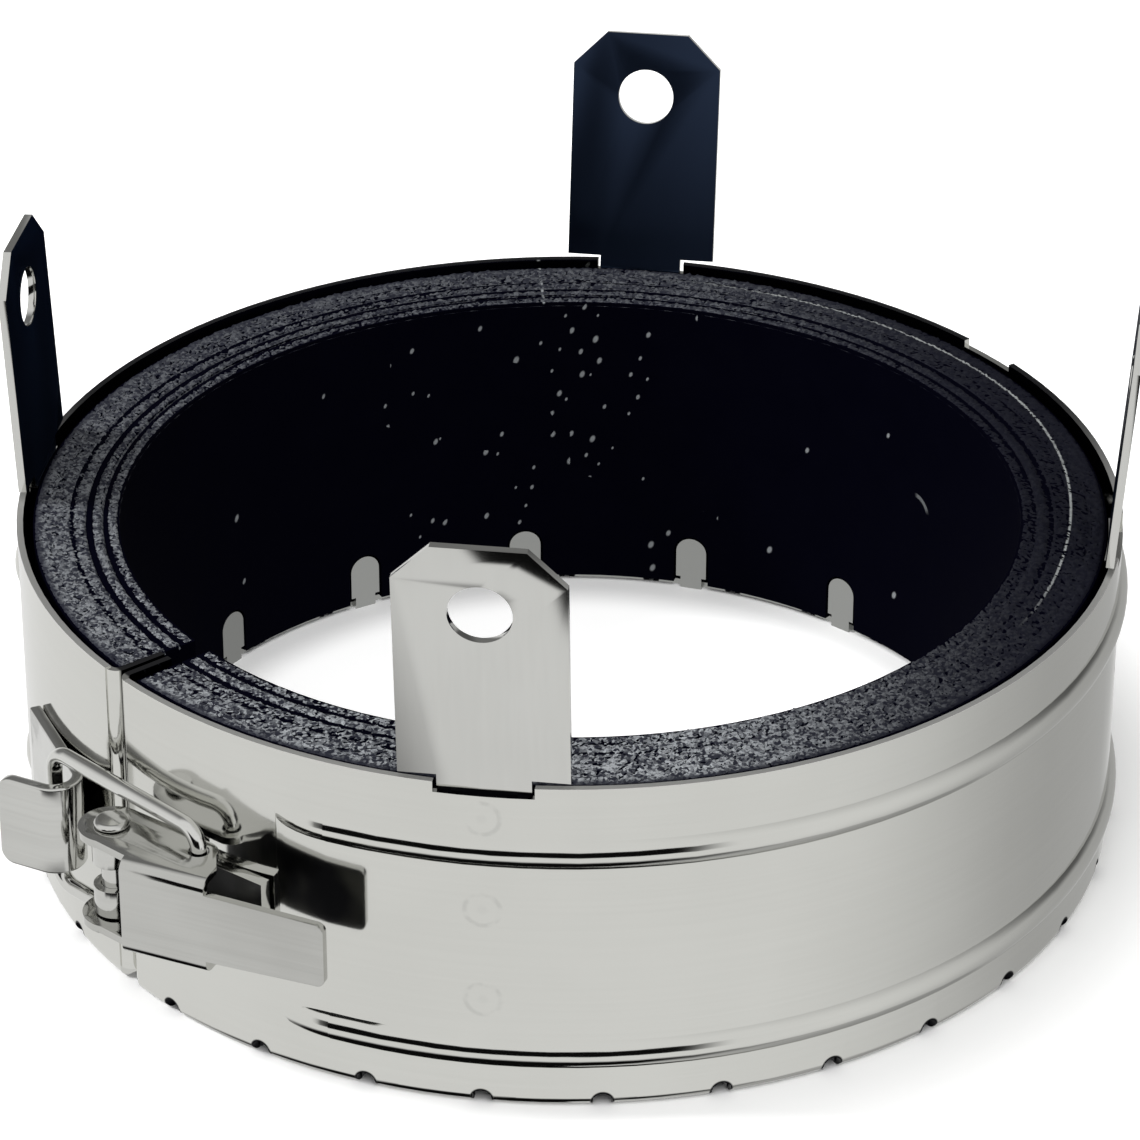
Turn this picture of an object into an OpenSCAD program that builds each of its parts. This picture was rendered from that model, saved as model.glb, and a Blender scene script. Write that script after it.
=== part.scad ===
// Pipe fire collar: an open stainless band round a wound intumescent liner, with fixing lugs and a toggle latch.
// The pipe axis is +Z, z = 0 is the liner's seat on the folded petals, and the front is -Y.
// Azimuths are in degrees from the front, positive to the left as seen from the front.

/* [Pipe and liner] */
// Outer diameter of the pipe that the collar closes on
pipe_d = 110; // [75:1:160]
// Radial room between the pipe and the liner
pipe_room = 1.5; // [0.5:0.1:3]
// Thickness of the wound liner
liner_t = 10.7; // [7:0.1:16]
// Height of the liner
liner_h = 42.4; // [36:0.1:60]
// Layers wound in the liner
liner_layers = 5; // [2:1:8]
// Width of the groove between two layers on the cut edge
layer_groove_w = 0.35; // [0.2:0.05:0.6]
// Depth of that groove
layer_groove_depth = 0.5; // [0.2:0.1:1]
// Gap between the liner's cut ends and the band's end flanges
liner_end_gap = 0.4; // [0.2:0.1:2]

/* [Band] */
// Thickness of the band's sheet
sheet_t = 0.8; // [0.5:0.1:1.2]
// Room between the liner and the lug strips
liner_room = 0.2; // [0.1:0.05:1]
// How far the band's top edge stands above the liner
band_proud = 0.8; // [0:0.1:3]
// Azimuth of the seam
seam_az = 51; // [30:1:60]
// Gap between the two end flanges at the seam
seam_gap = 0.6; // [0.3:0.1:2]
// Outer bend radius where the band turns into an end flange
flange_bend_r = 1.6; // [1.2:0.1:3]
// How far that bend lies below the band's outside and below its top edge
flange_sink = 0.15; // [0.1:0.05:0.3]
// Radial reach of an end flange, from the band's outside
flange_reach = 7.5; // [4:0.1:9]
// Outer bend radius of the folded bottom edge
fold_r = 1.4; // [1.2:0.1:3]
// Azimuth of the shallow notch in the top edge
edge_notch_az = -125.9; // [-140:0.1:-110]
// Width of that notch
edge_notch_w = 9; // [4:0.5:15]
// Depth of that notch
edge_notch_depth = 1.0; // [0.5:0.1:2]

/* [Beads] */
// Crest of a rolled bead above the band
bead_rise = 1.0; // [0.4:0.1:1.5]
// Width of a bead
bead_w = 3.8; // [2.5:0.1:6]
// Drop of the upper bead below the top edge
upper_bead_drop = 8.9; // [6:0.1:14]
// Height of the lower bead above the bottom
lower_bead_rise = 7.5; // [5:0.1:12]
// Angle from the seam to the beads' near ends
bead_start = 27; // [15:0.5:40]
// Angle from the seam to the beads' far ends
bead_end = 40; // [30:0.5:60]
// Length over which a bead's end sinks into the wall
bead_taper = 7; // [4:0.5:12]

/* [Petals and fingers] */
// Whole petals between the two end petals
petal_count = 29; // [20:1:34]
// Angle of the end petal on the near side of the seam
near_end_petal = 6.9; // [5:0.1:12]
// Angle of the end petal on the far side of the seam
far_end_petal = 10.4; // [5:0.1:12]
// Width of the notch between two petals at the fold
notch_w = 2.4; // [1.5:0.1:4]
// Height of the notch
notch_h = 1.9; // [1.4:0.1:3]
// Gap between two petals at their inner ends
petal_tip_gap = 0.5; // [0.2:0.1:1]
// Width of a retaining finger
finger_w = 4.3; // [3:0.1:6]
// Height of a finger above the seat
finger_h = 7.0; // [4:0.1:12]
// Width of a finger's neck
finger_neck_w = 3.0; // [2:0.1:4]
// Height of the neck's side reliefs above the seat
finger_relief_h = 0.9; // [0.5:0.1:2]
// Depth of a finger's face behind the liner's bore
finger_inset = 0.1; // [0.08:0.01:0.3]
// Room round a finger in its pocket
finger_room = 0.3; // [0.2:0.05:0.6]

/* [Fixing lugs] */
// Thickness of a lug
lug_t = 1.0; // [0.8:0.1:1.5]
// Width of a lug's head
lug_w = 20; // [15:0.5:26]
// Height of a lug's head above the band
lug_h = 32; // [20:0.5:45]
// Size of the head's corner chamfers
lug_chamfer = 4.5; // [2:0.1:6]
// Width of the strip inside the band
lug_neck_w = 11; // [8:0.5:14]
// Height of the fixing hole above the band
lug_hole_z = 23.3; // [12:0.1:36]
// Diameter of the fixing hole
lug_hole_d = 7.5; // [5:0.1:9]
// Gap between a lug's shoulders and the band's top edge
lug_shoulder_gap = 0.8; // [0.4:0.1:2]
// Clearance of the strip's lower end above the seat
lug_foot_gap = 9; // [2:0.5:15]
// Azimuth of the front lug
lug_az = 8.2; // [-15:0.1:15]
// Outward lean of the front lug
lean_front = 5; // [0:0.5:15]
// Outward lean of the right lug
lean_right = 4; // [0:0.5:15]
// Outward lean of the back lug
lean_back = 12; // [0:0.5:15]
// Outward lean of the left lug
lean_left = 2.5; // [0:0.5:15]
// Depth of the band's notch at a lug
lug_notch_depth = 1.4; // [0.8:0.1:3]
// Side room of the strip in that notch
lug_notch_room = 0.4; // [0.2:0.1:1]

/* [Latch] */
// Azimuth of the latch's frame
latch_az = 47; // [30:0.5:60]
// Height of the latch's middle above the bottom
latch_rise = 22; // [18:0.5:30]
// Place of the pivot along the latch
pivot_x = 1.2; // [-1:0.1:4]
// Height of the pivot above the band
pivot_rise = 5.8; // [5.2:0.1:8]
// Diameter of the pivot rivet's shank
rivet_d = 3.0; // [2.4:0.1:4]
// Diameter of the rivet's heads
rivet_head_d = 4.4; // [4:0.1:7]
// Height of a rivet head
rivet_head_h = 0.8; // [0.5:0.1:1.4]
// Radial running clearance of the lever on the rivet
pivot_clearance = 0.06; // [0.03:0.01:0.1]
// Gap between the latch's sliding faces
slide_gap = 0.3; // [0.2:0.05:0.5]

/* [Lever] */
// Thickness of the lever's sheet
lever_t = 1.0; // [0.8:0.1:1.4]
// Angle that the closed lever's tail dips towards the band
lever_dip = 24; // [18:0.5:28]
// Distance of the lever's face from the pivot
lever_face = 7.05; // [6:0.05:9]
// Height of the lever over its ears
lever_h = 13; // [11.5:0.1:15]
// Outer bend radius between the face and the ears
lever_bend_r = 1.6; // [1.2:0.1:2.5]
// Distance of the face's near edge from the pivot
lever_near = 4.5; // [3:0.1:6]
// Length of the ears' bend
lever_ear_len = 11; // [9.5:0.1:13]
// Length of the lever's face
lever_len = 26.3; // [20:0.1:36]
// Height of the tail at its tip
tail_h = 8.4; // [6:0.1:10]
// Corner radius of the tail's tip
tail_corner_r = 1.0; // [0.5:0.1:2]
// Radius of the ears' lobe at the pivot
lobe_r = 4.0; // [3.2:0.1:4.6]
// Place of the bail's hole along the lever
bail_hole_x = 12.1; // [10.5:0.1:13]
// Place of the bail's hole towards the face
bail_hole_y = 1.25; // [0.8:0.05:1.8]

/* [Bail] */
// Diameter of the bail's wire
wire_d = 2.0; // [1.6:0.1:2.4]
// Spacing of the bail's two strands
strand_gap = 18.5; // [17.5:0.1:22]
// Bend radius of the wire's middle line
wire_bend_r = 2.5; // [2:0.1:3]
// Radial room of the wire in the ears' holes
wire_room = 0.3; // [0.2:0.05:0.5]
// Stand of the closed bail's cross-leg from the hook's middle, along the keeper's plate
wire_back = 0.4; // [0:0.05:0.6]
// Stand of the cross-leg from the hook's middle, towards the band
wire_in = 0.2; // [0:0.05:0.6]

/* [Keeper and base] */
// Thickness of the keeper and the base
bracket_t = 1.5; // [1:0.1:2]
// Height of the keeper
keeper_h = 12; // [9:0.1:14]
// Azimuth where the keeper lies on the band
keeper_az = 67; // [62:0.5:72]
// Length of the keeper's plate from there to the hook's middle
keeper_reach = 12.8; // [11:0.1:15]
// Length of the keeper's plate on the other side
keeper_tail = 3.5; // [2:0.1:8]
// Inner radius of the hook
hook_r = 2.0; // [1.8:0.1:3]
// Turn of the hook past the band's tangent
hook_turn = 140; // [120:1:160]
// Length of the keeper's finger tab
tab_len = 6; // [4:0.1:10]
// Corner radius of the tab
tab_corner_r = 1.8; // [0.5:0.1:3]
// Azimuth where the base lies on the band
base_az = 37; // [35:0.5:39]
// Half length of the base's flat
base_half_len = 8.2; // [6:0.1:10]
// Height of the base's flat
base_h = 8; // [6:0.1:9]
// Wall of the base's knuckles round the rivet
knuckle_wall = 1.0; // [0.8:0.1:1.4]
// Height of the window between the two knuckles
knuckle_window = 3.2; // [2:0.1:5]

/* [Hidden] */
$fn = 96;
// Overlap of pieces of one solid, and overrun of cuts
eps = 0.05;
over = 1;

bore_r = pipe_d / 2 + pipe_room;
liner_r = bore_r + liner_t;
band_ir = liner_r + liner_room + lug_t;
band_r = band_ir + sheet_t;
bottom_z = -sheet_t;
top_z = liner_h + band_proud;
latch_z = bottom_z + latch_rise;

petal_pitch = (360 - near_end_petal - far_end_petal) / petal_count;
finger_face_r = bore_r + finger_inset;
finger_back_r = finger_face_r + sheet_t;
petal_inner_r = finger_back_r;

// A bead's outside and inside are concentric arcs, so the sheet keeps its thickness
bead_r = (bead_rise * bead_rise + bead_w * bead_w / 4) / (2 * bead_rise);
bead_center_r = band_r + bead_rise - bead_r;
bead_heights = [bottom_z + lower_bead_rise, top_z - upper_bead_drop];
// Radius and turn of the arc on which a bead's crest sinks below the wall over its end's length
bead_dive_r = 1 / (2 * bead_rise / pow(bead_taper, 2) + 1 / band_r) - bead_r;
bead_dive_angle = 1.1 * asin(bead_taper / (bead_dive_r + bead_r));

// Angle of the band's plain wall from the seam's middle
seam_half = asin((seam_gap / 2 + flange_bend_r) / band_r);
liner_half = asin((seam_gap / 2 + sheet_t + liner_end_gap) / bore_r);

lug_bend_z = top_z - lug_notch_depth / 2;
lug_mid_r = band_ir - lug_t / 2;

// Turn of a point by an angle, and a point of a frame on the band put into the part's frame
function turned(p, a) = [p.x * cos(a) - p.y * sin(a), p.x * sin(a) + p.y * cos(a)];
function on_band(az, p) = turned([p.x, p.y - band_r], -az);

pivot_local = [pivot_x, -pivot_rise];
bail_hole = [bail_hole_x, -bail_hole_y];
pivot_at = on_band(latch_az, pivot_local);
bail_at = on_band(latch_az, pivot_local + turned(bail_hole, lever_dip));
hook_center = [keeper_reach, -bracket_t - hook_r];
wire_in_hook = hook_center + [-wire_back, wire_in];
hook_at = on_band(keeper_az, wire_in_hook);
bail_run = norm(hook_at - bail_at);
bail_angle = atan2(hook_at.y - bail_at.y, hook_at.x - bail_at.x);
ear_in = lever_h / 2 - lever_t;
wire_hole_r = wire_d / 2 + wire_room;
ear_tip_r = wire_hole_r + lever_t;
knuckle_r = rivet_d / 2 + knuckle_wall;
knuckle_h = 2 * (ear_in - slide_gap);

module at_azimuth(az) {
    rotate([0, 0, -az]) children();
}

// Frame on the band's outside at an azimuth: x to the right, y inwards, z from the latch's middle
module band_frame(az) {
    at_azimuth(az) translate([0, -band_r, latch_z]) children();
}

// Flat outline between two circles, with their outer tangents
module link_2d(a, ra, b, rb) {
    d = norm(b - a);
    along = atan2(b.y - a.y, b.x - a.x);
    spread = acos((ra - rb) / d);
    translate(a) circle(r = ra);
    translate(b) circle(r = rb);
    polygon([
        a + ra * [cos(along + spread), sin(along + spread)],
        b + rb * [cos(along + spread), sin(along + spread)],
        b + rb * [cos(along - spread), sin(along - spread)],
        a + ra * [cos(along - spread), sin(along - spread)]
    ]);
}

// Section of the band as radius and height: the wall and its folded bottom
module band_section() {
    translate([band_ir, bottom_z + fold_r]) square([sheet_t, top_z - bottom_z - fold_r]);
    translate([petal_inner_r, bottom_z]) square([band_r - fold_r - petal_inner_r, sheet_t]);
    translate([band_r - fold_r, bottom_z + fold_r]) intersection() {
        difference() {
            circle(r = fold_r);
            circle(r = fold_r - sheet_t);
        }
        translate([0, -fold_r]) square(fold_r);
    }
}

// Ring of round section along a bead, between its two ends
module bead_ring(z, r) {
    rotate([0, 0, -90 - seam_az + bead_start]) rotate_extrude(angle = 360 - bead_start - bead_end)
        translate([bead_center_r, z]) circle(r = r);
}

// End of a bead that dives into the wall, from the angle given, on the side given by the sign
module bead_dive(angle, z, side) {
    lap = 1;
    rotate([0, 0, -90 - seam_az + angle]) mirror([0, side < 0 ? 1 : 0, 0])
        translate([bead_center_r - bead_dive_r, 0, z]) rotate([0, 0, -lap])
            rotate_extrude(angle = bead_dive_angle + lap)
                translate([bead_dive_r, 0]) circle(r = bead_r - eps / 2);
}

// Outer forms of both beads, from the middle of the sheet outwards
module beads() {
    difference() {
        for (z = bead_heights) {
            bead_ring(z, bead_r);
            bead_dive(bead_start, z, -1);
            bead_dive(360 - bead_end, z, 1);
        }
        cylinder(r = band_ir + sheet_t / 2, h = top_z);
    }
}

// End of the band turned inwards at the seam, on the side given by the sign
module end_flange(side) {
    foot = bottom_z + fold_r + flange_sink;
    height = top_z - flange_sink - foot;
    bend_x = seam_gap / 2 + flange_bend_r;
    bend_y = -sqrt(pow(band_r - flange_bend_r - flange_sink, 2) - bend_x * bend_x);
    flange_end = flange_reach - band_r;
    lap = 8;
    at_azimuth(seam_az) mirror([side < 0 ? 1 : 0, 0, 0]) translate([0, 0, foot]) {
        translate([seam_gap / 2, bend_y - eps, 0]) cube([sheet_t, flange_end + eps - bend_y, height]);
        translate([bend_x, bend_y, 0]) rotate([0, 0, 180]) rotate_extrude(angle = 90 + lap)
            translate([flange_bend_r - sheet_t, 0]) square([sheet_t, height]);
    }
}

// Cut between two petals: an arch in the wall and a slit that narrows to the petals' inner ends
module petal_cut() {
    arch_r = notch_w / 2;
    slit_near = petal_inner_r - over;
    slit_far = band_r + over;
    translate([0, 0, bottom_z - over]) linear_extrude(fold_r + over)
        polygon([[slit_near, -petal_tip_gap / 2], [slit_far, -arch_r], [slit_far, arch_r],
            [slit_near, petal_tip_gap / 2]]);
    translate([band_r - fold_r, 0, bottom_z + notch_h - arch_r]) rotate([0, 90, 0])
        cylinder(r = arch_r, h = fold_r + over, $fn = 48);
}

// Round-ended retaining finger with side reliefs, seen from the axis along +X
module finger() {
    tip_z = finger_h - finger_w / 2;
    relief = (finger_w - finger_neck_w) / 2;
    translate([finger_face_r, 0, 0]) rotate([90, 0, 90]) linear_extrude(sheet_t) difference() {
        union() {
            translate([-finger_w / 2, bottom_z]) square([finger_w, tip_z - bottom_z]);
            translate([0, tip_z]) circle(d = finger_w, $fn = 48);
        }
        for (s = [-1, 1]) translate([s * (finger_neck_w + relief) / 2 - relief / 2, bottom_z])
            translate([s * over / 2 - over / 2, -over]) square([relief + over, finger_relief_h - bottom_z + over]);
    }
    translate([finger_face_r, -finger_neck_w / 2, bottom_z]) cube([2 * sheet_t, finger_neck_w, sheet_t]);
}

function petal_angle(k) = -90 - seam_az + near_end_petal + k * petal_pitch;

module outer_band() color("silver") {
    difference() {
        union() {
            rotate([0, 0, -90 - seam_az + seam_half]) rotate_extrude(angle = 360 - 2 * seam_half) band_section();
            beads();
            for (side = [-1, 1]) end_flange(side);
        }
        for (z = bead_heights) bead_ring(z, bead_r - sheet_t);
        for (k = [0 : petal_count]) rotate([0, 0, petal_angle(k)]) petal_cut();
        for (k = [0 : 3]) at_azimuth(lug_az + 90 * k)
            translate([-lug_neck_w / 2 - lug_notch_room, -band_r - over, top_z - lug_notch_depth])
                cube([lug_neck_w + 2 * lug_notch_room, 2 * over + sheet_t + lug_t, lug_notch_depth + over]);
        at_azimuth(edge_notch_az) translate([-edge_notch_w / 2, -band_r - over, top_z - edge_notch_depth])
            cube([edge_notch_w, 2 * over + sheet_t + lug_t, edge_notch_depth + over]);
    }
    for (k = [1 : 2 : petal_count - 1]) rotate([0, 0, petal_angle(k + 0.5)]) finger();
}

// One wound strip, cut at the seam, with a groove between its turns and a pocket at each finger
module intumescent_liner() color("#1c1d22") difference() {
    rotate([0, 0, -90 - seam_az + liner_half]) rotate_extrude(angle = 360 - 2 * liner_half) difference() {
        translate([bore_r, 0]) square([liner_t, liner_h]);
        for (k = [1 : liner_layers - 1])
            translate([bore_r + k * liner_t / liner_layers - layer_groove_w / 2, liner_h - layer_groove_depth])
                square([layer_groove_w, layer_groove_depth + over]);
    }
    for (k = [1 : 2 : petal_count - 1]) rotate([0, 0, petal_angle(k + 0.5)]) {
        width = finger_w + 2 * finger_room;
        depth = finger_back_r + finger_room - bore_r + over;
        translate([bore_r - over, 0, 0]) rotate([90, 0, 90]) linear_extrude(depth) {
            translate([-width / 2, -over]) square([width, finger_h - finger_w / 2 + over]);
            translate([0, finger_h - finger_w / 2]) circle(d = width, $fn = 48);
        }
    }
}

// Lug: a strip that follows the band's inside, and a flat head that leans outwards above the band
module lug(az, lean) color("gainsboro") at_azimuth(az) {
    half = asin(lug_neck_w / 2 / band_ir);
    foot_z = lug_foot_gap;
    rotate([0, 0, -90 - half]) rotate_extrude(angle = 2 * half)
        translate([band_ir - lug_t, foot_z]) square([lug_t, lug_bend_z - foot_z]);
    translate([0, -lug_mid_r, lug_bend_z]) rotate([lean, 0, 0]) {
        rotate([0, 90, 0]) cylinder(d = lug_t, h = lug_neck_w, center = true, $fn = 32);
        translate([0, lug_t / 2, 0]) rotate([90, 0, 0]) linear_extrude(lug_t) lug_outline();
    }
}

module lug_outline() {
    shoulder = top_z + lug_shoulder_gap - lug_bend_z;
    head_top = top_z + lug_h - lug_bend_z;
    difference() {
        union() {
            translate([-lug_neck_w / 2, 0]) square([lug_neck_w, shoulder + eps]);
            polygon([
                [-lug_w / 2, shoulder], [lug_w / 2, shoulder], [lug_w / 2, head_top - lug_chamfer],
                [lug_w / 2 - lug_chamfer, head_top], [lug_chamfer - lug_w / 2, head_top],
                [-lug_w / 2, head_top - lug_chamfer]
            ]);
        }
        translate([0, top_z + lug_hole_z - lug_bend_z]) circle(d = lug_hole_d);
    }
}

module lug_front() lug(lug_az, lean_front);
module lug_right() lug(lug_az - 90, lean_right);
module lug_back() lug(lug_az + 180, lean_back);
module lug_left() lug(lug_az + 90, lean_left);

// Keeper: a bent strip with a plate on the band, a hook for the bail and a flared finger tab
module keeper_hook() color("lightgray") band_frame(keeper_az) {
    translate([-keeper_tail, -bracket_t, -keeper_h / 2])
        cube([keeper_tail + keeper_reach + eps, bracket_t, keeper_h]);
    translate(hook_center) rotate([0, 0, 90 - hook_turn]) {
        rotate_extrude(angle = hook_turn)
            translate([hook_r, -keeper_h / 2]) square([bracket_t, keeper_h]);
        translate([hook_r, eps, 0]) rotate([90, 0, 90]) mirror([1, 0, 0]) linear_extrude(bracket_t)
            tab_outline(tab_len + eps, keeper_h, tab_corner_r);
    }
}

// Plate from x = 0 to its length, with its two far corners rounded
module tab_outline(length, height, corner) {
    translate([0, -height / 2]) square([length - corner, height]);
    translate([0, corner - height / 2]) square([length, height - 2 * corner]);
    for (s = [-1, 1]) translate([length - corner, s * (height / 2 - corner)]) circle(r = corner, $fn = 48);
}

// Base: a plate on the band whose near end rises and rolls round the rivet as two knuckles
module latch_base() color("lightgray") band_frame(base_az) {
    knuckle = turned(pivot_at, base_az) + [0, band_r];
    foot = [bracket_t - base_half_len / 2, -bracket_t / 2];
    rise = knuckle + (knuckle_r - bracket_t / 2) * [cos(70), sin(70)];
    translate([foot.x, -bracket_t, -base_h / 2]) cube([base_half_len - foot.x, bracket_t, base_h]);
    difference() {
        translate([0, 0, -knuckle_h / 2]) linear_extrude(knuckle_h) {
            link_2d(foot, bracket_t / 2 - eps / 2, rise, bracket_t / 2 - eps);
            translate(knuckle) circle(r = knuckle_r);
        }
        translate([knuckle.x - 2 * knuckle_r, knuckle.y - 2 * knuckle_r, -knuckle_window / 2])
            cube([4 * knuckle_r, 3.4 * knuckle_r, knuckle_window]);
        translate([knuckle.x, knuckle.y, -knuckle_h]) cylinder(d = rivet_d + eps, h = 2 * knuckle_h);
    }
}

module pivot_rivet() color("lightgray") translate([pivot_at.x, pivot_at.y, latch_z]) {
    head_z = lever_h / 2 + pivot_clearance;
    cylinder(d = rivet_d, h = 2 * head_z + eps, center = true);
    for (flip = [0, 1]) mirror([0, 0, flip]) translate([0, 0, head_z]) {
        cylinder(d = rivet_head_d, h = rivet_head_h / 2);
        translate([0, 0, rivet_head_h / 2])
            cylinder(d1 = rivet_head_d, d2 = rivet_head_d - rivet_head_h, h = rivet_head_h / 2);
    }
}

// Frame of the lever: x along its tail, y away from its face, origin on the pivot
module lever_frame() {
    translate([pivot_at.x, pivot_at.y, latch_z]) rotate([0, 0, lever_dip - latch_az]) children();
}

// Section of the lever over its ears' bends, as y and z
module lever_section() {
    inner_r = lever_bend_r - lever_t;
    depth = 2 * lever_bend_r;
    difference() {
        translate([-lever_face, 0]) tab_flip(depth, lever_h, lever_bend_r);
        translate([lever_t - lever_face, 0]) tab_flip(depth, lever_h - 2 * lever_t, inner_r);
    }
}

module tab_flip(length, height, corner) {
    translate([length, 0]) mirror([1, 0]) tab_outline(length, height, corner);
}

// One ear: the lobe at the pivot, the tip at the bail's hole and the web out to the bend
module ear_outline() {
    bend_y = lever_bend_r - lever_face;
    far = lever_near + lever_ear_len;
    difference() {
        union() {
            link_2d([0, 0], lobe_r, bail_hole, ear_tip_r);
            polygon([
                [-lobe_r * 0.6, -lobe_r * 0.8], [lever_near, bend_y], [far, bend_y], [far, bend_y + lobe_r / 2],
                bail_hole + [ear_tip_r, 0], [0, 0]
            ]);
        }
        circle(r = rivet_d / 2 + pivot_clearance);
        translate(bail_hole) circle(r = wire_hole_r, $fn = 48);
    }
}

module latch_lever() color("gainsboro") lever_frame() {
    translate([lever_near, 0, 0]) rotate([90, 0, 90]) linear_extrude(lever_ear_len) lever_section();
    for (flip = [0, 1]) mirror([0, 0, flip])
        translate([0, 0, ear_in]) linear_extrude(lever_t) ear_outline();
    translate([lever_near, lever_t - lever_face, 0]) rotate([90, 0, 0]) linear_extrude(lever_t) tail_outline();
}

module tail_outline() {
    root_h = lever_h - 2 * lever_bend_r;
    straight = lever_len - tail_corner_r;
    polygon([[0, root_h / 2], [straight, tail_h / 2], [straight, -tail_h / 2], [0, -root_h / 2]]);
    translate([lever_ear_len, 0]) tab_outline(lever_len - lever_ear_len, tail_h, tail_corner_r);
}

// Bail: two strands between the cross-leg in the hook and the ends in the lever's ears
module wire_bail() color("lightgray") translate([bail_at.x, bail_at.y, latch_z]) rotate([0, 0, bail_angle]) {
    half = strand_gap / 2;
    leg = half - wire_bend_r;
    end_z = ear_in - slide_gap;
    translate([bail_run, 0, 0]) cylinder(d = wire_d, h = 2 * leg, center = true, $fn = 48);
    for (flip = [0, 1]) mirror([0, 0, flip]) {
        translate([wire_bend_r, 0, half]) rotate([0, 90, 0])
            cylinder(d = wire_d, h = bail_run - 2 * wire_bend_r, $fn = 48);
        translate([0, 0, end_z]) cylinder(d = wire_d, h = leg - end_z, $fn = 48);
        translate([bail_run - wire_bend_r, 0, leg]) wire_bend(0);
        translate([wire_bend_r, 0, leg]) wire_bend(90);
    }
}

// Quarter turn of the wire in the xz plane, from the given angle
module wire_bend(from) {
    rotate([90, 0, 0]) rotate([0, 0, from]) rotate_extrude(angle = 90)
        translate([wire_bend_r, 0]) circle(d = wire_d, $fn = 48);
}

outer_band();
intumescent_liner();
lug_front();
lug_right();
lug_back();
lug_left();
keeper_hook();
latch_base();
pivot_rivet();
latch_lever();
wire_bail();
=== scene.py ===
"""Looks of a pipe fire collar: bright steel band and latch, satin lugs and a grainy wound liner."""
import math

import bpy
import numpy as np
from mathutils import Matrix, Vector


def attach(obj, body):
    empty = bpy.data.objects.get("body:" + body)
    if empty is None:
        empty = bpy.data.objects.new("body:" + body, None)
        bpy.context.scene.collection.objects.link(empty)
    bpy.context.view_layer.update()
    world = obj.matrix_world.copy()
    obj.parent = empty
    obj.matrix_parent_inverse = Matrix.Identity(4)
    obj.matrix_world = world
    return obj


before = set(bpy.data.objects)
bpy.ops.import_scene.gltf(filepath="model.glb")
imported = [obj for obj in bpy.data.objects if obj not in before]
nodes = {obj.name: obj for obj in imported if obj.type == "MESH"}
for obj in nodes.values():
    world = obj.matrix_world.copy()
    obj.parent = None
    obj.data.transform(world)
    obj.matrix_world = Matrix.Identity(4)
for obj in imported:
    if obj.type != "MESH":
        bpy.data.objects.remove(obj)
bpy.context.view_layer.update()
MM = 0.001
DEG = math.radians(1.0)

# Sizes of the solids that the looks follow; azimuths count from the front to the left
BORE_R = 56.5 * MM
LINER_R = 67.2 * MM
LINER_H = 42.4 * MM
LINER_W = LINER_R - BORE_R
BAND_R = 69.2 * MM
BAND_TOP = 43.2 * MM
FLOOR_Z = -0.8 * MM
SEAM_AZ = 51.0 * DEG
LUG_AZ = 8.2 * DEG
LUG_PITCH = 90.0 * DEG
LUG_NOTCH_W = 11.8 * MM
LUG_NOTCH_DEPTH = 1.4 * MM
PETAL_PITCH = 11.817 * DEG
NEAR_END_PETAL = 6.9 * DEG
NOTCH_R = 1.2 * MM
NOTCH_DROP = 0.1 * MM
LEVER_INWARD = (0.39, 0.92, 0.0)

# Colours of the marks on the steel, in linear light; apart from white and the weld grey they are painted
# shade, painted highlight and painted reflection
WHITE = (1.0, 1.0, 1.0, 1.0)
WELD_GREY = (0.36, 0.36, 0.35, 1.0)
FINGER_SHADE = (0.36, 0.365, 0.355, 1.0)
TOP_EDGE_HIGHLIGHT = (0.86, 0.86, 0.84, 1.0)
TOP_EDGE_SHADE = (0.03, 0.03, 0.035, 1.0)
NOTCH_SHADE = (0.004, 0.004, 0.006, 1.0)
TURNED_IN_SHADE = (0.05, 0.05, 0.055, 1.0)
LUG_INSIDE_SHADE = (0.026, 0.039, 0.073, 1.0)
GAP_SHADOW = (0.003, 0.003, 0.005, 1.0)
LEVER_INSIDE_SHADE = (0.012, 0.012, 0.015, 1.0)
LEVER_SHADE_MOTTLE = (0.06, 0.06, 0.055, 1.0)

# Colours of the liner; the edge shade and the two bore colours carry painted shade
EDGE_DARK = (0.014, 0.015, 0.022, 1.0)
EDGE_FLAKE = (0.30, 0.315, 0.33, 1.0)
EDGE_SHADE = (0.001, 0.001, 0.004, 1.0)
EDGE_LINE = (0.22, 0.23, 0.23, 1.0)
BORE_DARK_AND_SHADE = (0.0003, 0.0003, 0.0024, 1.0)
BORE_HAZE_AND_SHADE = (0.0012, 0.0012, 0.0038, 1.0)
FLECK = (0.20, 0.21, 0.22, 1.0)
RING_LIGHT = (0.10, 0.105, 0.11, 1.0)


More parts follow.
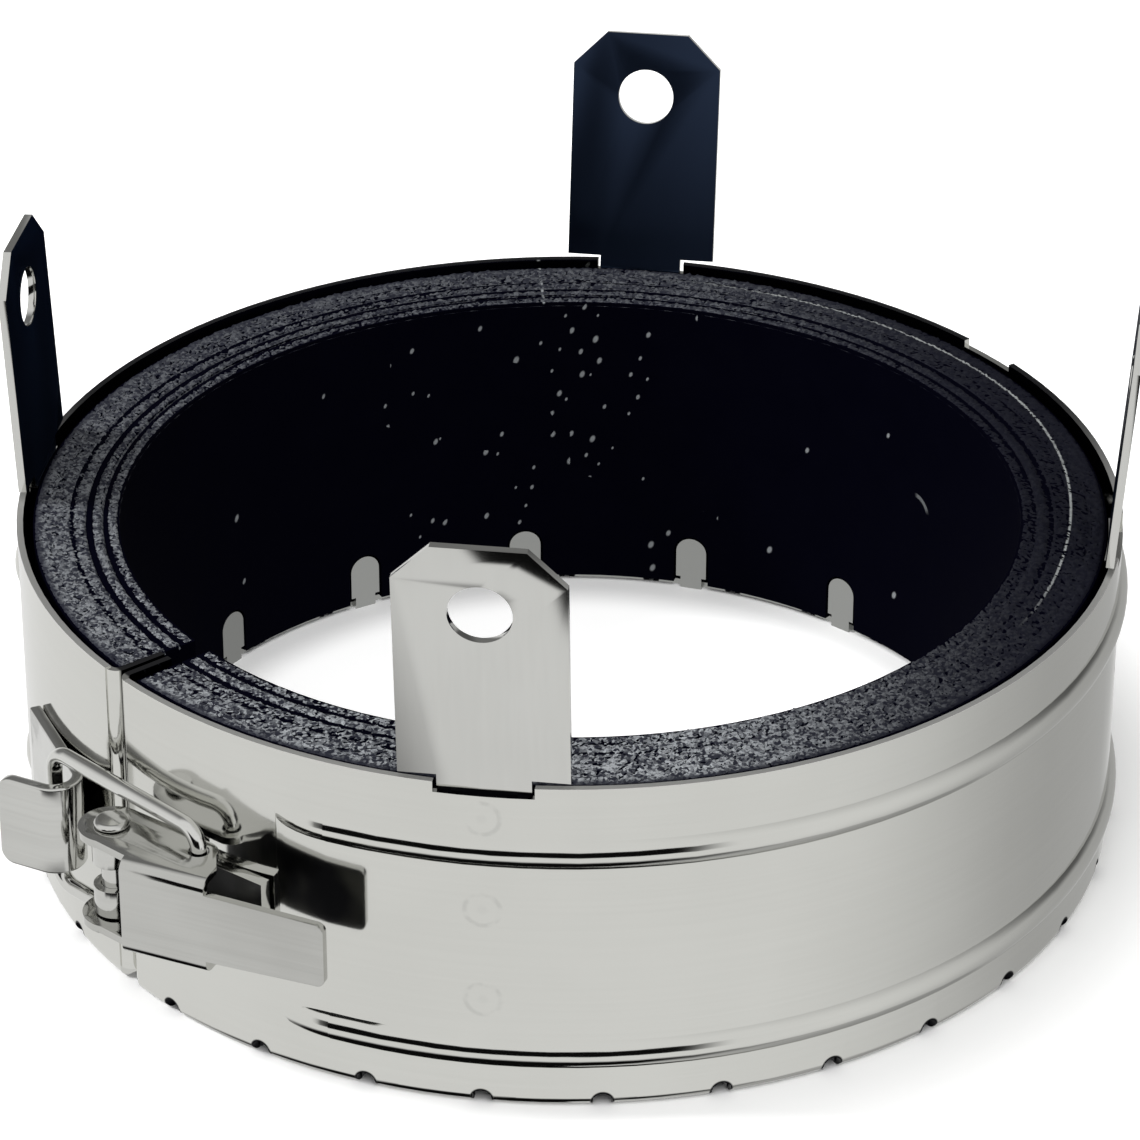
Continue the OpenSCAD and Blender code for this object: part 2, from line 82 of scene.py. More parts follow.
class Graph:
    """Short forms for building a node tree."""

    def __init__(self, tree):
        self.tree = tree

    def node(self, kind, inputs=None, **settings):
        n = self.tree.nodes.new(kind)
        for key, value in settings.items():
            setattr(n, key, value)
        for key, value in (inputs or {}).items():
            self.feed(n.inputs[key], value)
        return n

    def feed(self, socket, value):
        if isinstance(value, bpy.types.NodeSocket):
            self.tree.links.new(value, socket)
        else:
            socket.default_value = value

    def op(self, operation, *values):
        n = self.node("ShaderNodeMath", operation=operation)
        for socket, value in zip(n.inputs, values):
            self.feed(socket, value)
        return n.outputs[0]

    def add(self, a, b):
        return self.op("ADD", a, b)

    def sub(self, a, b):
        return self.op("SUBTRACT", a, b)

    def mul(self, first, *others):
        product = first
        for value in others:
            product = self.op("MULTIPLY", product, value)
        return product

    def off(self, value, middle):
        """Distance of a value from a middle."""
        return self.op("ABSOLUTE", self.sub(value, middle))

    def length(self, a, b):
        return self.op("SQRT", self.add(self.mul(a, a), self.mul(b, b)))

    def azimuth(self, x, y):
        """Angle from the front to the left."""
        return self.op("ARCTAN2", self.mul(x, -1.0), self.mul(y, -1.0))

    def repeat(self, value, first, pitch):
        """Offset of a value from the nearest of the places that repeat at a pitch."""
        return self.op("WRAP", self.sub(value, first), pitch / 2, -pitch / 2)

    def ramp(self, value, low, high, out_low=0.0, out_high=1.0):
        """Smooth step of a value between two limits."""
        n = self.node("ShaderNodeMapRange", interpolation_type="SMOOTHSTEP")
        for socket, v in zip(n.inputs, (value, low, high, out_low, out_high)):
            self.feed(socket, v)
        return n.outputs[0]

    def mix(self, factor, a, b):
        n = self.node("ShaderNodeMix", data_type="RGBA")
        self.feed(n.inputs[0], factor)
        self.feed(n.inputs[6], a)
        self.feed(n.inputs[7], b)
        return n.outputs[2]

    def noise(self, vector, per_m, detail, roughness):
        n = self.node("ShaderNodeTexNoise", {"Vector": vector, "Scale": per_m, "Detail": detail,
                                             "Roughness": roughness})
        return n.outputs["Fac"]

    def stretch(self, vector, factors):
        return self.node("ShaderNodeVectorMath", {0: vector, 1: factors}, operation="MULTIPLY").outputs[0]

    def bump(self, height, strength, depth):
        n = self.node("ShaderNodeBump", {"Height": height, "Strength": strength, "Distance": depth})
        return n.outputs[0]

    def split(self, vector):
        return self.node("ShaderNodeSeparateXYZ", {0: vector}).outputs


class Finish(Graph):
    """Material with its shader, and the places on the collar that its looks follow."""

    def __init__(self, name):
        self.material = bpy.data.materials.new(name)
        self.material.use_nodes = True
        super().__init__(self.material.node_tree)
        self.shader = self.tree.nodes["Principled BSDF"]
        coordinates = self.node("ShaderNodeTexCoord").outputs
        self.place = coordinates["Object"]
        self.facing = coordinates["Normal"]
        self.x, self.y, self.z = self.split(self.place)
        self.az = self.azimuth(self.x, self.y)
        self.radius = self.length(self.x, self.y)
        from_seam = self.repeat(self.az, SEAM_AZ + math.pi, 2 * math.pi)
        self.arc = self.mul(from_seam, BAND_R)
        self.rolled = self.node("ShaderNodeCombineXYZ", {0: self.arc, 1: self.radius, 2: self.z}).outputs[0]

    def shade(self, values):
        for key, value in values.items():
            self.feed(self.shader.inputs[key], value)


# Sheet grain: stretch of the rolling lines, and share of clouds and lines in the tone
ROLLED_LINES = (22.0, 22.0, 1900.0)
UPRIGHT_LINES = (900.0, 900.0, 18.0)
CLOUD_SHARE = 0.7
LINE_SHARE = 0.3
TONE_LIMITS = (0.3, 0.7)

# Waves of the sheet: length and strength, with one depth
SHEET_WAVES = (14 * MM, 0.05)
PRESS_WAVES = (4 * MM, 0.16)
WAVE_DEPTH = 0.6 * MM


def steel(name, light, dark, rough, grain, waves, upright=False, marks=None):
    """Bright sheet: faint rolling lines, clouds in the gloss and the piece's marks, painted shade and
    highlights among them.
    """
    f = Finish(name)
    stretched = f.stretch(f.place, UPRIGHT_LINES) if upright else f.stretch(f.rolled, ROLLED_LINES)
    lines = f.noise(stretched, per_m=1.0, detail=2.0, roughness=0.6)
    clouds = f.noise(f.place, per_m=55.0, detail=2.0, roughness=0.55)
    tone = f.add(f.mul(clouds, CLOUD_SHARE), f.mul(lines, LINE_SHARE))
    colour = f.mix(f.ramp(tone, *TONE_LIMITS), dark, light)
    gloss = f.add(f.add(f.mul(lines, grain), f.mul(clouds, grain)), rough)
    wave_length, strength = waves
    wave = f.noise(f.place, per_m=1.0 / wave_length, detail=1.0, roughness=0.4)
    look = colour, gloss
    if marks:
        look = marks(f, look)
    colour, gloss = look
    normal = f.bump(wave, strength, WAVE_DEPTH)
    f.shade({"Base Color": colour, "Roughness": gloss, "Normal": normal, "Metallic": 1.0})
    return f.material


def coat(f, look, mask, colour, dulling):
    """Look with a colour laid over it where a mask is, and made duller there."""
    base, gloss = look
    return f.mix(mask, base, colour), f.add(gloss, f.mul(mask, dulling))


# Limits between which the band's marks fade in, and how much duller they are
WELD_STRENGTH = 0.16
WELD_DULLING = 0.75
FINGER_R = (60.0 * MM, 58.0 * MM)
FINGER_DULLING = 0.22
TOP_EDGE_Z = (BAND_TOP - 0.08 * MM, BAND_TOP - 0.02 * MM)
TOP_EDGE_LIGHT_Y = (-5 * MM, 30 * MM)
TOP_EDGE_DULLING = 0.45
NOTCH_SHADE_R = (NOTCH_R + 0.35 * MM, NOTCH_R + 0.12 * MM)
NOTCH_SHADE_Z = (3 * MM, 2.5 * MM)
NOTCH_SHADE_DULLING = 0.4
TURNED_IN_R = (68.2 * MM, 67.8 * MM)
TURNED_IN_Z = (12 * MM, 14 * MM)


def band_marks(f, look):
    """Weld rings, painted shade on the fingers, a painted highlight on the front of the top edge fading to
    painted shade at its back, painted shade round the notches and on the turned-in ends.
    """
    look = coat(f, look, f.mul(weld_rings(f), WELD_STRENGTH), WELD_GREY, WELD_DULLING)
    # Painted shade: the fingers are darkened where the metal mirrors the shadowed floor inside the ring, and
    # made duller
    look = coat(f, look, f.ramp(f.radius, *FINGER_R), FINGER_SHADE, FINGER_DULLING)
    # Painted highlight on the front of the top edge, fading to painted shade at its back
    top_edge_light = f.mix(f.ramp(f.y, *TOP_EDGE_LIGHT_Y), TOP_EDGE_HIGHLIGHT, TOP_EDGE_SHADE)
    look = coat(f, look, f.ramp(f.z, *TOP_EDGE_Z), top_edge_light, TOP_EDGE_DULLING)
    # Painted shade round the notches of the bottom edge
    colour, gloss = coat(f, look, notch_shade(f), NOTCH_SHADE, NOTCH_SHADE_DULLING)
    # Painted shade on the turned-in ends at the seam
    turned_in_shade = f.mul(f.ramp(f.radius, *TURNED_IN_R), f.ramp(f.z, *TURNED_IN_Z))
    return f.mix(turned_in_shade, colour, TURNED_IN_SHADE), gloss


# Electrode rings of the spot welds: place, size and the limits of their parts
WELD_AZ = LUG_AZ + 0.2 * DEG
WELD_Z = 26.4 * MM
WELD_PITCH = 12.4 * MM
WELD_R = 2.1 * MM
WELD_LINE = (0.45 * MM, 0.1 * MM)
WELD_BREAKS = (0.42, 0.62)
WELD_SPOT = (0.9 * MM, 0.3 * MM)
WELD_SPOT_SHARE = 0.35
OUTSIDE_R = (68.9 * MM, 69.1 * MM)
WELD_LOWEST_Z = (7.9 * MM, 8.1 * MM)


def weld_rings(f):
    """Faint electrode rings of the spot welds, three below each lug."""
    across = f.mul(f.repeat(f.az, WELD_AZ, LUG_PITCH), BAND_R)
    d = f.length(across, f.repeat(f.z, WELD_Z, WELD_PITCH))
    ring = f.ramp(f.off(d, WELD_R), *WELD_LINE)
    broken = f.ramp(f.noise(f.place, per_m=420.0, detail=2.0, roughness=0.6), *WELD_BREAKS)
    spot = f.mul(f.ramp(d, *WELD_SPOT), WELD_SPOT_SHARE)
    marks = f.op("MAXIMUM", f.mul(ring, broken), spot)
    return f.mul(marks, f.ramp(f.radius, *OUTSIDE_R), f.ramp(f.z, *WELD_LOWEST_Z))


def notch_shade(f):
    """Painted shade round each notch of the bottom edge, counted from the seam."""
    first = (math.pi - NEAR_END_PETAL) * BAND_R
    across = f.repeat(f.arc, first, PETAL_PITCH * BAND_R)
    d = f.length(across, f.add(f.z, NOTCH_DROP))
    return f.mul(f.ramp(d, *NOTCH_SHADE_R), f.ramp(f.z, *NOTCH_SHADE_Z))


# Limits of the sides with painted shade, by the share of the normal that points inwards, and of the painted
# shadow of the gap at a lug
LUG_FACING_IN = (-0.3, -0.8)
LEVER_FACING_IN = (0.3, 0.8)
INSIDE_DULLING = 0.3
GAP_SIDE = (LUG_NOTCH_W / 2 - 0.1 * MM, LUG_NOTCH_W / 2 + 0.1 * MM)
GAP_H = (0.62 * MM, 0.45 * MM)
GAP_DULLING = 0.4
SHADE_MOTTLE_LIMITS = (0.45, 0.7)


def lug_marks(f, look):
    """Painted shade and painted reflection on the inner faces, and the painted shadow of the gap along the
    band's edge in front of a lug.
    """
    nx, ny, _ = f.split(f.facing)
    outward = f.op("DIVIDE", f.add(f.mul(f.x, nx), f.mul(f.y, ny)), f.radius)
    # Painted shade and painted reflection: inner faces darkened, and their reflection tinted dark blue
    shaded_inside = f.ramp(outward, *LUG_FACING_IN)
    f.shade({"Specular Tint": f.mix(shaded_inside, WHITE, LUG_INSIDE_SHADE)})
    look = coat(f, look, shaded_inside, LUG_INSIDE_SHADE, INSIDE_DULLING)
    across = f.op("ABSOLUTE", f.mul(f.repeat(f.az, LUG_AZ, LUG_PITCH), BAND_R))
    rim = f.ramp(across, *GAP_SIDE, BAND_TOP - LUG_NOTCH_DEPTH, BAND_TOP)
    # Painted shadow in the gap along the band's edge in front of a lug
    gap_shadow = f.ramp(f.sub(f.z, rim), *GAP_H)
    return coat(f, look, gap_shadow, GAP_SHADOW, GAP_DULLING)


def lever_marks(f, look):
    """The lever's inner side, made duller and darkened with mottled painted shade."""
    inward = f.node("ShaderNodeVectorMath", {0: f.facing, 1: LEVER_INWARD}, operation="DOT_PRODUCT")
    shaded_inside = f.ramp(inward.outputs["Value"], *LEVER_FACING_IN)
    # Painted shade on the inner side, mottled between a darker and a lighter tone
    painted_shade_mix = f.ramp(f.noise(f.place, per_m=110.0, detail=2.0, roughness=0.5), *SHADE_MOTTLE_LIMITS)
    return coat(f, look, shaded_inside, f.mix(painted_shade_mix, LEVER_INSIDE_SHADE, LEVER_SHADE_MOTTLE), INSIDE_DULLING)


# Flakes of the liner's cut edge: how many, what picks them, where painted shade dims them, how they fade at
# the outer rim, and the painted shade of the right
FLAKES_PER_M = 2700.0
PICK_SHARE = 0.66
CLUMP_SHARE = 0.55
FLAKE_LIMITS = (0.36, 0.95)
FINE_RAMP = (0.25, 0.6, 0.35, 1.0)
FLAKE_SHADE_BACK = (-LINER_R, LINER_R, 1.0, 0.24)
FLAKE_SHADE_RIGHT = (12 * MM, 60 * MM, 1.0, 0.10)
FLAKE_SHADE_LEFT = (-60 * MM, -15 * MM, 0.72, 1.0)
RIM_FADE = (LINER_R - 0.3 * MM, LINER_R - 1.3 * MM, 0.1, 1.0)
SHADE_RIGHT = (12 * MM, 60 * MM, 1.0, 0.25)


def liner_edge_material():
    """Cut edge of the wound strip, full of bright flakes, with painted shade that dims them at the back and
    the right and darkens the right, and fewer flakes towards the outer rim.
    """
    f = Finish("liner_edge")
    grain = f.node("ShaderNodeTexVoronoi", {"Vector": f.place, "Scale": FLAKES_PER_M})
    pick = f.node("ShaderNodeSeparateColor", {0: grain.outputs["Color"]}).outputs[0]
    fine = f.noise(f.place, per_m=4200.0, detail=2.0, roughness=0.7)
    clumps = f.noise(f.place, per_m=420.0, detail=3.0, roughness=0.6)
    share = f.add(f.mul(pick, PICK_SHARE), f.mul(clumps, CLUMP_SHARE))
    flake = f.mul(f.ramp(share, *FLAKE_LIMITS), f.ramp(fine, *FINE_RAMP))
    # Painted shade dims the flakes at the back, the right and the far left; fewer flakes towards the outer
    # rim
    painted_shade_mix = f.mul(f.ramp(f.y, *FLAKE_SHADE_BACK), f.ramp(f.x, *FLAKE_SHADE_RIGHT), f.ramp(f.x, *FLAKE_SHADE_LEFT))
    flake = f.mul(flake, painted_shade_mix, f.ramp(f.radius, *RIM_FADE))
    colour = f.mix(flake, EDGE_DARK, EDGE_FLAKE)
    # Painted shade darkens the right of the edge
    colour = f.mix(f.ramp(f.x, *SHADE_RIGHT), EDGE_SHADE, colour)
    colour = f.mix(light_line(f, clumps), colour, EDGE_LINE)
    dullest, flake_gloss = 0.8, 0.4
    f.shade({
        "Base Color": colour,
        "Roughness": f.sub(dullest, f.mul(flake, flake_gloss)),
        "Normal": f.bump(share, strength=0.5, depth=0.25 * MM),
        "Specular IOR Level": 0.12,
    })
    return f.material


# Light line on the cut edge: how its radius grows with the azimuth, its width, its two ends and its breaks
LINE_R = (-75 * DEG, -122 * DEG, 62.3 * MM, 64.9 * MM)
LINE_HALF_W = (0.22 * MM, 0.08 * MM)
LINE_NEAR_END = (-58 * DEG, -76 * DEG)
LINE_FAR_END = (-172 * DEG, -150 * DEG)
LINE_BREAKS = (0.25, 0.5, 0.3, 1.0)


def light_line(f, clumps):
    """Light line that runs round the right of the cut edge, further out towards the back."""
    line = f.ramp(f.off(f.radius, f.ramp(f.az, *LINE_R)), *LINE_HALF_W)
    span = f.mul(f.ramp(f.az, *LINE_NEAR_END), f.ramp(f.az, *LINE_FAR_END))
    return f.mul(line, span, f.ramp(clumps, *LINE_BREAKS))


# Flecks on the bore: slant, length, how many, the zone where they gather, their chance and their size
FLECK_SLANT = (0.0, 0.0, 0.4)
FLECK_STRETCH = (1.0, 0.6, 1.0)
FLECKS_PER_M = 560.0
FLECK_MIDDLE_X = -3 * MM
FLECK_HALF_W = (27 * MM, 8 * MM)
FLECK_Y = (20 * MM, 50 * MM)
FLECK_CLUMPS = (0.40, 0.60)
FLECK_RAREST = 0.990
FLECK_GATHER = 0.40
FLECK_SMALLEST = 0.06
FLECK_GROWTH = 0.11
FLECK_OUTER = 1.5
FLECK_INNER = 0.7


def liner_material():
    """Smooth dark faces of the strip, darkened further to near black with a blue tint as painted shade, with
    sparse flecks on the bore.
    """
    f = Finish("liner")
    flat = f.node("ShaderNodeCombineXYZ", {0: f.mul(f.az, BORE_R), 1: f.z}).outputs[0]
    slanted = f.node("ShaderNodeMapping", {"Vector": flat, "Rotation": FLECK_SLANT}).outputs[0]
    drawn = f.stretch(slanted, FLECK_STRETCH)
    cells = f.node("ShaderNodeTexVoronoi", {"Vector": drawn, "Scale": FLECKS_PER_M}, voronoi_dimensions="2D")
    spots = cells.outputs
    _, chance, growth = f.node("ShaderNodeSeparateColor", {0: spots["Color"]}).outputs
    clump = f.ramp(f.noise(f.place, per_m=75.0, detail=1.0, roughness=0.4), *FLECK_CLUMPS)
    zone = f.mul(f.ramp(f.off(f.x, FLECK_MIDDLE_X), *FLECK_HALF_W), f.ramp(f.y, *FLECK_Y), clump)
    picked = f.op("GREATER_THAN", chance, f.sub(FLECK_RAREST, f.mul(zone, FLECK_GATHER)))
    size = f.add(FLECK_SMALLEST, f.mul(growth, FLECK_GROWTH))
    dot = f.ramp(spots["Distance"], f.mul(size, FLECK_OUTER), f.mul(size, FLECK_INNER))
    haze = f.noise(f.place, per_m=160.0, detail=2.0, roughness=0.6)
    # Painted shade: the strip's dark colour is taken to near black with a blue tint
    colour = f.mix(f.mul(dot, picked), f.mix(haze, BORE_DARK_AND_SHADE, BORE_HAZE_AND_SHADE), FLECK)
    colour = f.mix(ring_mark(f), colour, RING_LIGHT)
    least_rough, haze_rough = 0.6, 0.25
    f.shade({
        "Base Color": colour,
        "Roughness": f.add(least_rough, f.mul(haze, haze_rough)),
        "Normal": f.bump(haze, strength=0.3, depth=0.1 * MM),
        "Specular IOR Level": 0.01,
    })
    return f.material


# Faint ring on the bore: place, size, width of its line and the part of it that shows
RING_AZ = -125.3 * DEG
RING_Z = 23.0 * MM
RING_R = 2.6 * MM
RING_HALF_W = (0.38 * MM, 0.2 * MM)
RING_FROM = (15 * DEG, 40 * DEG)
RING_TO = (100 * DEG, 80 * DEG)


def ring_mark(f):
    """Quarter of a ring that shows lightly on the bore."""
    beside = f.mul(f.sub(f.az, RING_AZ), BORE_R)
    above = f.sub(f.z, RING_Z)
    ring = f.ramp(f.off(f.length(beside, above), RING_R), *RING_HALF_W)
    turn = f.op("ARCTAN2", above, beside)
    return f.mul(ring, f.ramp(turn, *RING_FROM), f.ramp(turn, *RING_TO))


BAND = steel("band_steel", light=(0.71, 0.71, 0.68, 1.0), dark=(0.68, 0.68, 0.65, 1.0),
             rough=0.05, grain=0.03, waves=SHEET_WAVES, marks=band_marks)
LUG = steel("lug_steel", light=(0.67, 0.67, 0.65, 1.0), dark=(0.63, 0.63, 0.61, 1.0),
            rough=0.06, grain=0.04, waves=SHEET_WAVES, upright=True, marks=lug_marks)
LATCH = steel("latch_steel", light=(0.66, 0.66, 0.64, 1.0), dark=(0.58, 0.58, 0.56, 1.0),
              rough=0.05, grain=0.05, waves=PRESS_WAVES)
LEVER = steel("lever_steel", light=(0.58, 0.58, 0.56, 1.0), dark=(0.50, 0.50, 0.48, 1.0),
              rough=0.05, grain=0.05, waves=PRESS_WAVES, marks=lever_marks)
WIRE = steel("wire_steel", light=(0.76, 0.76, 0.74, 1.0), dark=(0.66, 0.66, 0.64, 1.0),
             rough=0.05, grain=0.05, waves=SHEET_WAVES)
LINER = liner_material()
LINER_EDGE = liner_edge_material()

FINISH = {
    "outer_band": BAND, "intumescent_liner": LINER, "lug_front": LUG, "lug_right": LUG, "lug_back": LUG,
    "lug_left": LUG, "keeper_hook": LATCH, "latch_base": LATCH, "pivot_rivet": LATCH, "latch_lever": LEVER,
    "wire_bail": WIRE,
}

# Width of the rounded sheet edges, by node
ROUNDING = {
    "lug_front": 0.15 * MM, "lug_right": 0.15 * MM, "lug_back": 0.15 * MM, "lug_left": 0.15 * MM,
    "keeper_hook": 0.3 * MM, "latch_base": 0.25 * MM, "pivot_rivet": 0.3 * MM, "latch_lever": 0.4 * MM,
}
ROUNDING_STEPS = 3
WELD_DISTANCE = 0.002 * MM
FLAT_ANGLE = 0.5 * DEG
ROUNDED_ANGLE = 40 * DEG
SHARP_ANGLE = 24 * DEG


def dress(obj, finish, rounding):
    """Gives a solid its material, smooth shading and, where named, rounded edges."""
    obj.data.materials.clear()
    obj.data.materials.append(finish)
    for p in obj.data.polygons:
        p.use_smooth = True
    weld = obj.modifiers.new("weld", "WELD")
    weld.merge_threshold = WELD_DISTANCE
    if rounding:
        flat = obj.modifiers.new("flat", "DECIMATE")
        flat.decimate_type = "DISSOLVE"
        flat.angle_limit = FLAT_ANGLE
        bevel = obj.modifiers.new("bevel", "BEVEL")
        bevel.width = rounding
        bevel.segments = ROUNDING_STEPS
        bevel.limit_method = "ANGLE"
        bevel.angle_limit = ROUNDED_ANGLE
        bevel.harden_normals = True
        return
    split = obj.modifiers.new("split", "EDGE_SPLIT")
    split.split_angle = SHARP_ANGLE
    even = obj.modifiers.new("even", "WEIGHTED_NORMAL")
    even.keep_sharp = True


for node_name, finish in FINISH.items():
    dress(nodes[node_name], finish, ROUNDING.get(node_name))


def mesh_piece(name, points, faces, finish, body):
    """Smooth piece from points and faces that rides on a body."""
    mesh = bpy.data.meshes.new(name)
    mesh.from_pydata([tuple(p) for p in points], [], faces)
    mesh.validate()
    mesh.update()
    obj = bpy.data.objects.new(name, mesh)
    bpy.context.scene.collection.objects.link(obj)
    mesh.materials.append(finish)
    for p in mesh.polygons:
        p.use_smooth = True
    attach(obj, body)
    return obj


# Grooves between the liner's turns: place across the edge from the bore, depth at the front and at the back
GROOVES = (
    (0.16, 0.05 * MM, 1.0 * MM),
    (0.35, 0.05 * MM, 1.2 * MM),
    (0.56, 0.0, 0.3 * MM),
    (0.80, 0.05 * MM, 0.12 * MM),
)
GROOVE_HALF_W = 0.30 * MM
GROOVE_WANDER = 0.0009
SHALLOWEST_AZ = -40.0 * DEG

# Relief of the cut edge: grid, gap at the seam, height over the liner, grain, and how far its rim goes down
EDGE_COLUMNS = 1150
EDGE_ROWS = 34
EDGE_SEAM_GAP = 1.6 * DEG
EDGE_OVERHANG = 0.02 * MM
EDGE_LIFT = 0.12 * MM
EDGE_GRAIN = 0.10 * MM
EDGE_RIM_DROP = 0.5 * MM
TURN_STEP = 0.10 * MM
TURN_WAVES = 3.0
TURN_STEP_MEAN = 0.6
TURN_STEP_SWING = 0.4


def liner_cut_edge():
    """Rough cut edge of the wound strip: uneven turns with grooves between them, on top of the liner."""
    rng = np.random.default_rng(11)
    az = np.linspace(SEAM_AZ + EDGE_SEAM_GAP, SEAM_AZ + 2 * math.pi - EDGE_SEAM_GAP, EDGE_COLUMNS)
    t = np.linspace(0.0, 1.0, EDGE_ROWS)
    radius = BORE_R - EDGE_OVERHANG + t * LINER_W
    height = np.full((EDGE_COLUMNS, EDGE_ROWS), LINER_H + EDGE_LIFT)
    height += rng.normal(0.0, EDGE_GRAIN, height.shape)
    wander = np.cumsum(rng.normal(0.0, 1.0, (len(GROOVES), EDGE_COLUMNS)), axis=1)
    wander -= np.linspace(0.0, 1.0, EDGE_COLUMNS) * wander[:, -1:]
    behind = 0.5 - 0.5 * np.cos(az - SHALLOWEST_AZ)
    for (middle, front_depth, back_depth), drift in zip(GROOVES, wander):
        depth = front_depth + (back_depth - front_depth) * behind
        away = (t[None, :] - (middle + GROOVE_WANDER * drift)[:, None]) * LINER_W
        height -= depth[:, None] * np.exp(-((away / GROOVE_HALF_W) ** 2))
    step = rng.normal(0.0, TURN_STEP, len(GROOVES) + 1)
    turn_of = np.searchsorted([place for place, _, _ in GROOVES], t)
    swell = TURN_STEP_MEAN + TURN_STEP_SWING * np.sin(az * TURN_WAVES)
    height += step[turn_of][None, :] * swell[:, None]
    for border in (np.s_[:, 0], np.s_[:, -1], np.s_[0, :], np.s_[-1, :]):
        height[border] = LINER_H - EDGE_RIM_DROP
    x = -np.sin(az)[:, None] * radius[None, :]
    y = -np.cos(az)[:, None] * radius[None, :]
    points = np.stack([x, y, height], axis=-1).reshape(-1, 3)
    k = np.arange(height.size).reshape(height.shape)
    quads = np.stack([k[:-1, :-1], k[:-1, 1:], k[1:, 1:], k[1:, :-1]], axis=-1).reshape(-1, 4)
    return mesh_piece("liner_cut_edge", points, quads.tolist(), LINER_EDGE, "band")


edge = liner_cut_edge()


# Floor paper: its size, its two whites, and the share of white that it shows the camera by itself,
# which keeps the shadow soft and fades out towards the foot of the collar
FLOOR_SIZE = 6.0
PAPER_DARK = (0.90, 0.90, 0.90, 1.0)
PAPER_LIGHT = (0.93, 0.93, 0.93, 1.0)
FLOOR_LIFT = 0.4
LIFT_WITHIN = (BORE_R - 1 * MM, BORE_R - 9 * MM)
LIFT_AROUND = (BAND_R, BAND_R + 24 * MM)


def floor():
    """Pale floor that the metal doesn't mirror, so that it shows the studio instead."""
    bpy.ops.mesh.primitive_plane_add(size=FLOOR_SIZE, location=(0.0, 0.0, FLOOR_Z))
    obj = bpy.context.object
    obj.name = "floor"
    f = Finish("floor_paper")
    soft = f.noise(f.place, per_m=9.0, detail=2.0, roughness=0.5)
    seen = f.node("ShaderNodeLightPath").outputs["Is Camera Ray"]
    clear = f.add(f.ramp(f.radius, *LIFT_WITHIN), f.ramp(f.radius, *LIFT_AROUND))
    f.shade({
        "Base Color": f.mix(soft, PAPER_DARK, PAPER_LIGHT),
        "Roughness": 0.9,
        "Specular IOR Level": 0.0,
        "Emission Color": WHITE,
        "Emission Strength": f.mul(seen, clear, FLOOR_LIFT),
    })
    obj.data.materials.append(f.material)
    obj.visible_glossy = False


# Studio as the metal mirrors it, by azimuth, rise and direction: a dark pit below, a dark card beside
# the camera, and a room that is dimmer on the right and at the back
ROOM_TINT = (1.0, 1.0, 0.99, 1.0)
ROOM_LEVEL = 0.83
PIT_RISE = (-60 * DEG, -46 * DEG)
PIT_END = (-25 * DEG, -70 * DEG, 0.0, 0.7)
CARD_AZ = 14 * DEG
CARD_HALF_W = (46 * DEG, 34 * DEG)
CARD_RISE = -3 * DEG
CARD_HALF_H = (18 * DEG, 13 * DEG)
RIGHT_X = (-0.02, 0.42)
RIGHT_Y = (-0.70, 0.45)
RIGHT_DIMMING = 0.39
BACK_Y = (-0.1, 0.5)
BACK_RISE = (0.0, 22 * DEG)
BACK_DIMMING = 0.76
DARKEST = 0.004
SOFT_LEVEL = 0.50


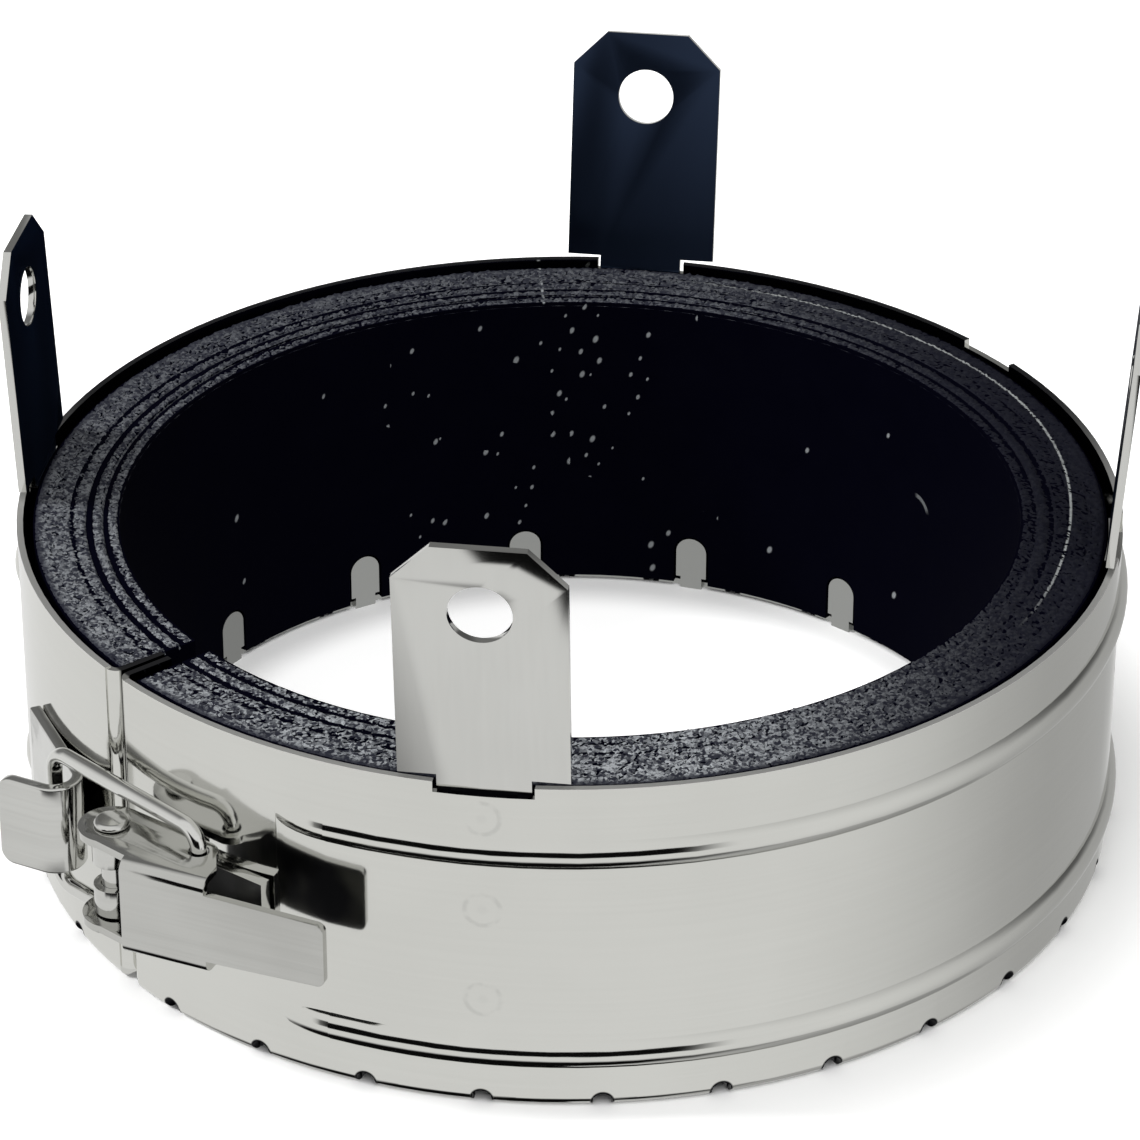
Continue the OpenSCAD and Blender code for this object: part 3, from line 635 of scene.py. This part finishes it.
def studio():
    """White room with a dark floor pit and a dark card beside the camera, seen only in the metal."""
    world = bpy.data.worlds.new("studio")
    bpy.context.scene.world = world
    world.use_nodes = True
    g = Graph(world.node_tree)
    x, y, z = g.split(g.node("ShaderNodeTexCoord").outputs["Generated"])
    side = g.azimuth(x, y)
    rise = g.op("ARCSINE", z)
    pit = g.op("MAXIMUM", g.ramp(rise, *PIT_RISE), g.ramp(side, *PIT_END))
    wide = g.ramp(g.off(side, CARD_AZ), *CARD_HALF_W)
    tall = g.ramp(g.off(rise, CARD_RISE), *CARD_HALF_H)
    card = g.sub(1.0, g.mul(wide, tall))
    right = g.mul(g.ramp(x, *RIGHT_X), g.ramp(y, *RIGHT_Y))
    room = g.sub(ROOM_LEVEL, g.mul(right, RIGHT_DIMMING))
    back = g.mul(g.ramp(y, *BACK_Y), g.ramp(rise, *BACK_RISE))
    wall = g.sub(1.0, g.mul(back, BACK_DIMMING))
    mirrored = g.add(DARKEST, g.mul(pit, card, room, wall))
    light = g.node("ShaderNodeLightPath").outputs
    glossy = light["Is Glossy Ray"]
    seen = light["Is Camera Ray"]
    level = g.add(g.mul(glossy, mirrored), g.mul(g.sub(1.0, glossy), SOFT_LEVEL))
    shade = world.node_tree.nodes["Background"]
    g.feed(shade.inputs["Strength"], g.add(g.mul(level, g.sub(1.0, seen)), seen))
    g.feed(shade.inputs["Color"], ROOM_TINT)


def lamp(name, place, target, side, watts):
    """Square lamp that the metal doesn't mirror."""
    data = bpy.data.lights.new(name, "AREA")
    data.shape = "RECTANGLE"
    data.size = side
    data.size_y = side
    data.energy = watts
    obj = bpy.data.objects.new(name, data)
    obj.location = place
    obj.rotation_euler = (Vector(target) - Vector(place)).to_track_quat("-Z", "Y").to_euler()
    obj.visible_glossy = False
    bpy.context.scene.collection.objects.link(obj)


# Camera as fitted to the photograph: millimetres of lens and sensor, rise over the floor and distance
CAMERA_LENS = 156.6
CAMERA_SENSOR = 36.0
CAMERA_SHIFT = -0.064
CAMERA_RISE = 28.65 * DEG
CAMERA_DISTANCE = 0.6228
CAMERA_NEAREST = 0.01


def camera():
    """Camera at the photograph's viewing angle, aimed at the middle of the band's top."""
    data = bpy.data.cameras.new("camera")
    data.lens = CAMERA_LENS
    data.sensor_width = CAMERA_SENSOR
    data.shift_y = CAMERA_SHIFT
    data.clip_start = CAMERA_NEAREST
    obj = bpy.data.objects.new("camera", data)
    target = Vector((0.0, 0.0, BAND_TOP))
    way = Vector((0.0, -math.cos(CAMERA_RISE), math.sin(CAMERA_RISE)))
    obj.location = target + CAMERA_DISTANCE * way
    obj.rotation_euler = (target - obj.location).to_track_quat("-Z", "Y").to_euler()
    bpy.context.scene.collection.objects.link(obj)
    bpy.context.scene.camera = obj


camera()
floor()
studio()
lamp("key", place=(-0.75, 0.06, 0.55), target=(0.0, 0.0, 0.04), side=0.22, watts=8.0)
lamp("fill", place=(0.1, -0.6, 0.9), target=(0.0, 0.0, 0.02), side=0.9, watts=8.0)
bpy.context.scene.view_settings.view_transform = "Standard"
